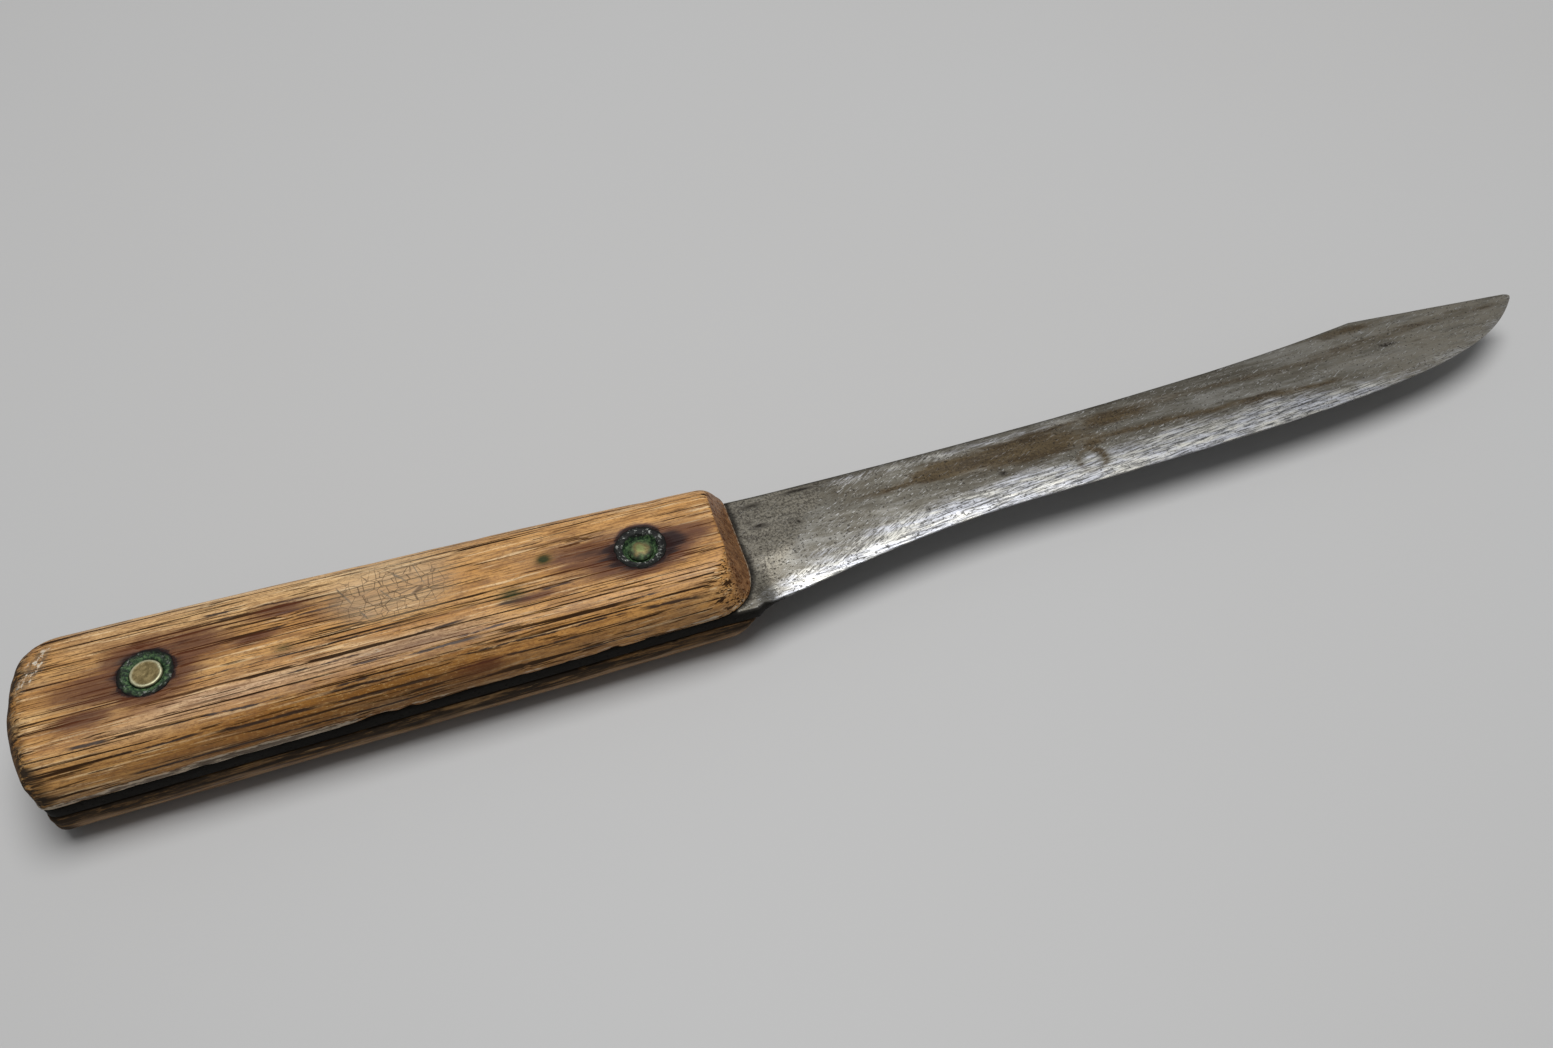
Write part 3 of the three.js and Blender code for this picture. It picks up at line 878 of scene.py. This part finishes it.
def scale_wear(x, y, height, chip, relief, turn):
    """Rubbed places: a patch on top, the upper scale's lips, and a painted highlight along the front lip.
    """
    worn = spot(x, y, (-5, -7.2), (11, 0.9)) * 0.72
    if turn < 0:
        return worn
    lip_reach = 0.65 + 1 * bell(x + 30, 15)
    lip_band = bell(height - relief - 0.5, lip_reach) * smooth(-y, 6, 12)
    lip_wear = 0.78 + 0.24 * smooth(-x, 6, 14) + 0.24 * line_noise(x, 13, 63)
    # A painted highlight along the foot of the front end, where it meets the blade.
    front_lip_highlight = bell(height - 0.6, 0.4) * smooth(x, 61, 62)
    return np.max([worn, smooth(chip, 0.1, 0.4) * 0.85, lip_band * lip_wear, front_lip_highlight * 0.9], axis=0)


def scale_girth(x, y, height, side_round):
    """Distance over the skin down from the ridge, where the flat top starts to bend."""
    flat = side_round - side_half(x)
    bend = np.arctan2(flat - y, np.maximum(height - SCALE_THICKNESS + side_round, 0))
    return np.where(y < flat, side_round * bend, flat - y)


def paint_scale(mesh, height, chip, turn, relief, side_round):
    """Numbers for the wood material: tones with painted shade, light and sheen, stains, soiling with
    painted shade, wear with a painted highlight, and green spots.
    """
    points, normals = points_of(mesh)
    x, y, _ = points.T
    forward = normals[:, 0]
    upward = np.clip(turn * normals[:, 2], 0, 1)
    flow = noise(points, (9, 1.8, 1.8), 61) * 0.35 + noise(points, (3, 0.8, 0.8), 62) * 0.2
    girth = scale_girth(x, y, height, side_round)
    slope = smooth(x, 50, 55)
    # Painted shade: the lower scale all over, and the upper scale's sides turned toward the edge.
    side_shade = 0.95 + flow * 0.4 if turn < 0 else smooth(-normals[:, 1], 0.6, 0.98) * (0.25 + flow)
    top = smooth(y, 5, 10) * (1 - smooth(-x, 48, 58))
    layers = dict(
        girth=girth,
        stain=scale_stain(x, y, upward, flow),
        grime_and_shade=scale_grime_and_shade(x, y, height, upward, flow, turn),
        worn=scale_wear(x, y, height, chip, relief, turn),
        burnish=slope * smooth(forward, 0.45, 0.8),
        brow=slope * smooth(forward, 0.12, 0.3) * (1 - smooth(forward, 0.62, 0.8)),
        side_shade=np.clip(side_shade, 0, 1),
        flake=smooth(spot(x - y * 0.5, y, (-60.8, 7), (1.7, 4.2)) + flow * 0.4, 0.25, 0.7),
        green=np.clip(spots(x, y, GREEN_SPOTS, np.sum) * (1 + flow) * upward, 0, 0.9),
        craze=smooth(spot(x, y, (1, 5), (12, 7)) + flow * 0.2, 0.2, 0.75) * upward,
        # Painted shade with a deeper orange tone, growing down the side below the ridge.
        amber_shade=smooth(girth, 1.2, 4.2) * (0.22 + 0.78 * bell(x + 2, 32)),
        deep_shade=smooth(girth, 5, 9) * smooth(x, -18, 6) * (1 - 0.4 * smooth(x, 46, 54)),
        # A painted sheen along the ridge, where the top starts to bend.
        ridge=bell(girth + 0.4, 1.7) * smooth(x, -48, -30) * (1 - smooth(x, 4, 24)),
        dense=spots(x, y, DENSE_GRAIN, np.sum),
        end=smooth(-forward + flow * 0.15, 0.55, 0.85),
        honey=smooth(x + flow * 8, 2, 24),
        # Painted light along the spine side of the top, and a few paler spots.
        lit_and_pale=top + spots(x, girth, PALE_SPOTS, np.sum),
    )
    if turn < 0:
        for name, share in LOWER_SHARES.items():
            layers[name] = layers[name] * share
    paint(mesh, **layers)


def make_scale(node, material, turn, relief, corner, side_round, proud, seed):
    thing = scale_solid(node + "_wood", turn, relief, corner, side_round, proud)
    cut_and_remesh(thing, [bore_tool(turn, REAR_RIVET_X), bore_tool(turn, FRONT_RIVET_X)])
    height, chip = weather_scale(thing.data, node, turn, relief, seed)
    paint_scale(thing.data, height, chip, turn, relief, side_round)
    dress(thing, node, material)


# Blade and tang

def edge_curve():
    sweep, belly = WAIST[0] - HEEL[0], TIP[0] - WAIST[0]
    return np.concatenate([
        straight(HIDDEN_ROOT, SPUR, 20),
        straight(SPUR, HEEL, 12),
        sloped_curve(HEEL, HEEL_SLOPE, 0.45 * sweep, WAIST, WAIST_SLOPE, 0.33 * sweep, 160),
        sloped_curve(WAIST, WAIST_SLOPE, 0.75 * belly, TIP, TIP_SLOPE, 0.1 * belly, 260),
        [TIP],
    ])


def spine_curve():
    run = HUMP[0]
    return np.concatenate([
        straight((HIDDEN_ROOT[0], SPINE_ROOT[1]), SPINE_ROOT, 10),
        sloped_curve(SPINE_ROOT, ROOT_SLOPE, 0.1 * run, HUMP, HUMP_SLOPE, 0.33 * run, 200),
        straight(HUMP, NOSE, 60),
        quad_curve(NOSE, NOSE_PULL, NOSE_END, 20),
        [NOSE_END],
    ])


def blade_limits(x):
    """Edge and spine at each station, tang included."""
    outline = handle_outline(TANG_INSET, TANG_INSET, TANG_INSET, 1, TANG_CORNER)
    crown = int(np.argmin(outline[:, 0]))
    nose = int(np.argmax(outline[:, 0]))
    low = np.roll(outline, -crown, axis=0)[: (nose - crown) % len(outline) + 1]
    high = np.roll(outline, -nose, axis=0)[: (crown - nose) % len(outline) + 1][::-1]
    tang_low = np.interp(x, low[:, 0], low[:, 1], right=np.inf)
    tang_high = np.interp(x, high[:, 0], high[:, 1], right=-np.inf)
    edge, spine = edge_curve(), spine_curve()
    blade_low = np.interp(x - FRONT_X, edge[:, 0], edge[:, 1], left=np.inf)
    blade_high = np.interp(x - FRONT_X, spine[:, 0], spine[:, 1], left=-np.inf)
    return np.minimum(tang_low, blade_low), np.maximum(tang_high, blade_high)


def blade_stations():
    """Stations along X, close together at both ends and round the heel."""
    first = BUTT_X + TANG_INSET
    butt = first + 7 * np.linspace(0, 1, 26) ** 2
    tang = np.arange(first + 7.6, FRONT_X - 6, 0.8)
    heel = np.arange(FRONT_X - 5.6, FRONT_X + 4, 0.2)
    body = np.arange(FRONT_X + 4, FRONT_X + 168, 0.5)
    tip = FRONT_X + BLADE_LENGTH - 10 * np.linspace(1, 0, 44) ** 1.6
    return np.concatenate([butt, tang, heel, body, tip])


def blade_halves(run, tall, shares):
    """Half the thickness at each station, at each share of the way up to the spine."""
    spine_half = np.interp(run, [0, BLADE_LENGTH], [TANG_THICKNESS / 2, TIP_THICKNESS / 2])
    ground = smooth(run, -1, 3.5)[:, None]
    grind_share = np.clip(run / PLUNGE_REACH, 0.4, 0.95)
    bevel_share = np.minimum(BEVEL_WIDTH / tall, 0.35)
    bevel_half = np.minimum(BEVEL_THICKNESS / 2, 0.8 * spine_half)
    flank = np.array([
        np.interp(shares, (0, bevel, max(grind, bevel + 0.02), 1), (EDGE_THICKNESS / 2, thin, thick, thick))
        for bevel, grind, thin, thick in zip(bevel_share, grind_share, bevel_half, spine_half)
    ])
    half = spine_half[:, None] + (flank - spine_half[:, None]) * ground
    for gap, radius, keep in (
        ((1 - shares) * tall[:, None], SPINE_ROUND, 1),
        (shares * tall[:, None], TANG_ROUND, 1 - ground),
    ):
        missing = np.clip(radius - gap, 0, radius)
        drop = radius - np.sqrt(np.maximum(radius * radius - missing * missing, 0))
        half = np.maximum(half - drop * keep, THINNEST_HALF)
    return half


def make_blade(node, material):
    """One loft from the butt to the tip, its sides ground from the plunge line to the edge."""
    x = blade_stations()
    run = x - FRONT_X
    low, high = blade_limits(x)
    blade = smooth(run, 1, 6)
    nicks = np.clip(line_noise(x, 2.3, 21) - 0.45, 0, 1) * 0.35
    nicks += np.clip(line_noise(x, 0.9, 22) - 0.5, 0, 1) * 0.2
    low = low + nicks * blade
    high = high - (0.03 + 0.03 * line_noise(x, 6, 23)) * blade
    tall = np.maximum(high - low, 0.02)

    slope = np.linspace(0, 1, 47)
    shares = 0.55 * (0.5 - 0.5 * np.cos(math.pi * slope)) + 0.45 * slope
    half = blade_halves(run, tall, shares)
    across = low[:, None] + shares * tall[:, None]
    along = np.repeat(x[:, None], len(shares), axis=1)
    flat = np.stack([along, across, np.zeros_like(along)], axis=2).reshape(-1, 3)
    wave = noise(flat, (17, 6, 1), 31) * 0.05 + noise(flat, (4.5, 2.2, 1), 32) * 0.03
    thin = half - np.minimum(np.abs(wave.reshape(half.shape)) * blade[:, None], half * 0.15)
    upper = np.stack([along, across, MIDDLE_Z + thin], axis=2)
    lower = np.stack([along, across, MIDDLE_Z - thin], axis=2)
    rings = np.concatenate([upper[:, ::-1], lower], axis=1)
    thing = loft(node + "_steel", inside(rings, node))
    paint_blade(thing.data, np.repeat(low, rings.shape[1]), np.repeat(tall, rings.shape[1]))
    dress(thing, node, material)


def forged_root(run, y, rise, flow):
    """The rough forged root, behind the slanting plunge line and above the ground heel."""
    plunge = 3 + 15 * np.clip((y + 10.3) / 18.3, 0, 1.2) ** 1.1
    heel_line = np.interp(run, [-5, -4, -0.7, 1.8, 6.7], [0.2, 0.6, 2, 3, 4.3])
    behind = 1 - smooth(run + flow * 2, plunge - 1.8, plunge + 1.4)
    return behind * smooth(rise + flow * 0.7, heel_line - 0.5, heel_line + 0.5)


def bright_steel(run, rise, fall, flow, forge):
    """The polished bevel with its bare edge, and a silver streak near the spine."""
    reach = np.interp(run, [0, 12, 30, 60, 100, 125, 145, 178], [5, 6, 6.4, 6.4, 6.2, 5.2, 3.6, 2.2])
    level = np.interp(
        run, [-4, 6, 22, 40, 60, 90, 112, 128, 145, 178],
        [0.15, 0.6, 0.86, 0.95, 1.05, 1.15, 1.2, 0.75, 0.45, 0.35],
    )
    bevel = level * np.exp(-(np.maximum(rise + flow * 1.6, 0) / reach) ** 2.4) * (1 - forge)
    edge_line = bell(rise, 0.55) * smooth(run, 0, 4) * (1 - smooth(run, 125, 150))
    silver = bell(fall - 1.6, 1.4) * smooth(run, 14, 24) * (1 - smooth(run, 60, 90))
    return np.maximum(bevel, edge_line * 1.1), silver * 0.42


def water_ring(run, y, flow):
    """A round water mark: the distance from its middle, and how strong its ring is."""
    across, up = run - RING_PLACE[0], y - RING_PLACE[1]
    distance = np.hypot(across, up) + flow * 0.7
    around = 0.85 + 0.15 * np.cos(np.arctan2(up, across) - 0.9)
    return distance, bell(distance - RING_RADIUS, 1.4) * around


def brown_bands(run, y, flow, halo):
    """Brown stain: two long bands, spots, the tip and the water ring."""
    layers = [spots(run, y, BAND_SPOTS), smooth(run, 115, 150) * 0.36, halo * 0.78]
    for stations, centres, widths, depth in BANDS:
        centre = np.interp(run, stations, centres) + flow * 0.8
        width = np.interp(run, [20, 60], widths)
        starting = smooth(run, stations[0] - 4, stations[0] + 18)
        ending = 1 - smooth(run, stations[-1], stations[-1] + 14)
        layers.append(depth * starting * ending * bell(y - centre, width))
    return np.max(layers, axis=0)


def blade_grime_and_shade(x, y, rise, flow):
    """Painted shade, with dark patina on the tang: on the tang, next to the upper scale's front, and under
    the heel.
    """
    run = x - FRONT_X
    corner_x, corner_y = FRONT_X - UPPER_EDGE_CORNER, UPPER_EDGE_CORNER - FRONT_WIDTH / 2
    from_corner = np.hypot(np.maximum(x - corner_x, 0), y - corner_y) - UPPER_EDGE_CORNER - 0.2
    gap = np.where(y < corner_y, from_corner, run)
    # The tang: dark patina and painted shade in the gap between the scales.
    tang = (1 - smooth(run, -5.1, -4.5)) * (0.9 + 0.1 * flow)
    # Painted shade next to the upper scale's front.
    beside_shade = (1 - smooth(gap + flow * 0.5, 0, 1.3)) * 0.75 * smooth(rise, 0.5, 1.6)
    # Painted shade on the side face under the heel.
    under = (1 - smooth(rise, 0.15, 0.55)) * (1 - smooth(run, 3, 9)) * 0.92
    return np.max([tang, beside_shade, under], axis=0)


def paint_blade(mesh, low, tall):
    """Numbers for the steel material: polish, stain, forged root, marks, soiling with painted shade, and
    painted light on the tip.
    """
    points, _ = points_of(mesh)
    x, y, _ = points.T
    run = x - FRONT_X
    rise = y - low
    fall = tall - rise
    flow = noise(points, (11, 3, 3), 41) * 0.5 + noise(points, (4, 1.6, 1.6), 42) * 0.3
    forge = forged_root(run, y, rise, flow)
    ring, halo = water_ring(run, y, flow)
    bevel, silver = bright_steel(run, rise, fall, flow, forge)
    hatch = 1 - smooth(run + flow * 8 - rise * 0.8, 26, 40)
    near_spine = bell(fall, 1.5) * 0.22 * (1 - smooth(run, 70, 110)) + bell(fall, 0.5) * 0.3
    layers = dict(
        bright=np.max([bevel * (1 - 0.75 * halo), bell(ring, 1.5) * 0.95, silver], axis=0),
        band=brown_bands(run, y, flow, halo),
        forge=forge,
        mark=np.maximum(spots(run, y, PITS) * (1 + flow), near_spine * smooth(run, 8, 16)),
        grime_and_shade=blade_grime_and_shade(x, y, rise, flow),
        # Painted light: the tip lighter.
        pale=smooth(run, 100, 165),
        hatch=hatch * smooth(rise + flow, 1.2, 3.4),
    )
    paint(mesh, **{name: np.clip(values, 0, 1.2) for name, values in layers.items()})


# Rivets and burrs

def spun(profile, turns):
    """Points of a profile turned about an upright axis, row by row."""
    angles = np.linspace(0, 2 * math.pi, turns, endpoint=False)
    return [(r * math.cos(a), r * math.sin(a), level) for r, level in profile for a in angles]


def pushed(points, x, out, up):
    """Points moved out from their axis and up, with the axis set at x."""
    away = points[:, :2] / np.maximum(np.hypot(points[:, 0], points[:, 1]), 0.3)[:, None]
    points[:, :2] += away * out[:, None]
    points[:, 2] += up
    return points + np.array([x, RIVET_RISE, 0])


def lathe(name, profile, x, seed, rough):
    """A roughened solid; its profile runs from axis to axis, bottom to top."""
    turns, rows = 120, len(profile) - 2
    ends = [(0, 0, profile[0][1]), (0, 0, profile[-1][1])]
    points = np.array(spun(profile[1:-1], turns) + ends)
    faces = strips(rows, turns)
    bottom, top, last = rows * turns, rows * turns + 1, (rows - 1) * turns
    for step in range(turns):
        after = (step + 1) % turns
        faces.append([bottom, after, step])
        faces.append([top, last + step, last + after])
    shift = noise(points, 1.1, seed) * 0.6 + noise(points, 0.45, seed + 1) * 0.4
    return make_object(name, pushed(points, x, shift * rough * 0.6, np.abs(shift) * -rough), faces)


def ring_lathe(name, profile, x, seed, rough):
    """A roughened ring with a closed section."""
    turns = 140
    points = np.array(spun(profile, turns))
    shift = noise(points, 1, seed) * 0.6 + noise(points, 0.4, seed + 1) * 0.5
    faces = strips(len(profile), turns, closed=True)
    return make_object(name, pushed(points, x, shift * rough, shift * rough), faces)


def refine(profile, step):
    """The same profile with points a step apart, to carry fine roughness."""
    finer = [profile[0]]
    for start, end in zip(profile, profile[1:]):
        parts = max(1, math.ceil(math.dist(start, end) / step))
        for part in range(1, parts + 1):
            share = part / parts
            finer.append((start[0] + (end[0] - start[0]) * share, start[1] + (end[1] - start[1]) * share))
    return finer


def flipped(profile):
    """The profile turned over about the handle's middle plane."""
    return [(radius, 2 * MIDDLE_Z - level) for radius, level in reversed(profile)]


def rivet_profile():
    """Head up: domed hammered end below, plain shank, flat head with a rubbed rim."""
    angles = [math.radians(angle) for angle in range(0, 91, 10)]
    dome = [(DOME_RADIUS * math.sin(a), DOME_LEVEL - DOME_RISE * math.cos(a)) for a in angles]
    shank = [(SHANK_RADIUS, 1.2), (SHANK_RADIUS, 17.8)]
    side = [(2.55, 17.92), (HEAD_RADIUS, 18.1), (HEAD_RADIUS, 18.62), (2.6, 18.8), (2.38, 18.88)]
    return dome + shank + side + [(2.1, 18.86), (1, 18.84), (0, 18.84)]


def burr_profile(crusty):
    """A washer sunk in the recess under a crust of verdigris, dished round a hammered end."""
    skirt = [(4.2, 17.5), (4.25, 18.35), (4.5, 18.72), (4.62, 18.8), (4.4, 18.9), (4.05, 18.86)]
    if crusty:
        top = [(3.75, 18.74), (3.5, 18.78), (3.2, 18.62), (2.95, 18.15), (2.7, 17.8), (2.4, 17.6)]
    else:
        top = [(3.8, 18.66), (3.5, 18.72), (3.15, 18.66), (2.85, 18.45), (2.76, 17.8)]
    return [(BURR_HOLE, 17.05), (3.9, 17.05)] + skirt + top + [(BURR_HOLE, 17.5)]


def make_rivet(node, x, head_up, seed, material):
    profile = rivet_profile() if head_up else flipped(rivet_profile())
    thing = lathe(node + "_brass", refine(profile, 0.16), x, seed, 0.05)
    points = inside(points_of(thing.data)[0], node)
    move_points(thing.data, points)
    radius = np.hypot(points[:, 0] - x, points[:, 1] - RIVET_RISE)
    flow = noise(points, 0.9, seed + 5)
    turn = 1 if head_up else -1
    on_head = turn * (points[:, 2] - MIDDLE_Z) > 0
    head_green = smooth(radius + flow * 0.25, 2.5, 2.75)
    dome_green = smooth(radius + flow * 0.5, 1, 1.9) * 0.95
    paint(
        thing.data,
        rim=np.where(on_head, bell(radius - 2.42 + flow * 0.1, 0.22) * 0.9, 0),
        verdigris=np.where(on_head, head_green, dome_green),
        dome=np.where(on_head, 0, 1 - smooth(radius + flow * 0.4, 0.5, 1.3)),
    )
    dress(thing, node, material)


def make_burr(node, x, upper, crusty, seed, material):
    profile = refine(burr_profile(crusty), 0.14)
    thing = ring_lathe(node + "_brass", profile if upper else flipped(profile), x, seed, 0.13)
    points, _ = points_of(thing.data)
    points[:, 2] = np.clip(points[:, 2], cad_low[2] / METRES, cad_high[2] / METRES)
    move_points(thing.data, points)
    radius = np.hypot(points[:, 0] - x, points[:, 1] - RIVET_RISE)
    flow = noise(points, 0.8, seed + 5)
    thick_crust = smooth(radius + flow * 0.3, 2.95, 3.25)
    thin_crust = smooth(radius + flow * 0.5, 3.5, 3.9) * 0.5
    paint(
        thing.data,
        # Painted shade with a dark crust in the gap against the recess wall.
        soot=smooth(radius + flow * 0.35, 4, 4.4),
        verdigris=np.ones(len(points)),
        crust=thick_crust if crusty else thin_crust,
    )
    dress(thing, node, material)


# Stage

def make_floor():
    corners = [(-1, -1), (1, -1), (1, 1), (-1, 1)]
    points = [(x * FLOOR_HALF, y * FLOOR_HALF, FLOOR_LEVEL) for x, y in corners]
    floor = make_object("floor", points, [[0, 1, 2, 3]])
    floor.data.materials.append(floor_material())


def make_camera():
    forward, right = Vector(CAMERA_FORWARD).normalized(), Vector(CAMERA_RIGHT).normalized()
    up = right.cross(forward)
    turn = Matrix((right, up, -forward)).transposed().to_4x4()
    data = bpy.data.cameras.new("camera")
    data.sensor_width = SENSOR_WIDTH
    data.lens = SENSOR_WIDTH * FOCAL_PIXELS / PHOTO_WIDTH
    data.clip_start = 0.01
    camera = add_object("camera", data)
    camera.matrix_world = Matrix.Translation(Vector(CAMERA_PLACE) * METRES) @ turn
    bpy.context.scene.camera = camera


def make_world():
    """Soft light from all round, paler where the camera or a shiny surface sees it."""
    world = bpy.data.worlds.new("studio")
    g = Graph(world)
    rays = g.add("LightPath").outputs
    seen = g.largest(rays["Is Camera Ray"], rays["Is Glossy Ray"])
    level = g.span(seen, 0, 1, ROOM_LIGHT, SEEN_LIGHT)
    g.fill(g.tree.nodes["Background"], {"Color": (0.97, 0.985, 1), "Strength": level})
    bpy.context.scene.world = world


def make_lamp():
    data = bpy.data.lights.new("overhead", "AREA")
    data.shape = "DISK"
    data.size = LAMP_SIZE
    data.energy = LAMP_WATTS
    light = add_object("overhead", data)
    light.location = LAMP_PLACE
    aim = Vector(LAMP_TARGET) - Vector(LAMP_PLACE)
    light.rotation_euler = aim.to_track_quat("-Z", "Y").to_euler()


# Scene

wood = wood_material()
steel = steel_material()
brass = brass_material()
for scale, shape in SCALES.items():
    make_scale(scale, wood, **shape)
make_blade("blade", steel)
make_rivet("rear_rivet", REAR_RIVET_X, True, 301, brass)
make_rivet("front_rivet", FRONT_RIVET_X, False, 302, brass)
make_burr("rear_upper_burr", REAR_RIVET_X, True, False, 401, brass)
make_burr("rear_lower_burr", REAR_RIVET_X, False, True, 402, brass)
make_burr("front_upper_burr", FRONT_RIVET_X, True, True, 403, brass)
make_burr("front_lower_burr", FRONT_RIVET_X, False, False, 404, brass)
make_floor()
make_camera()
make_world()
make_lamp()
bpy.context.scene.view_settings.view_transform = "Standard"
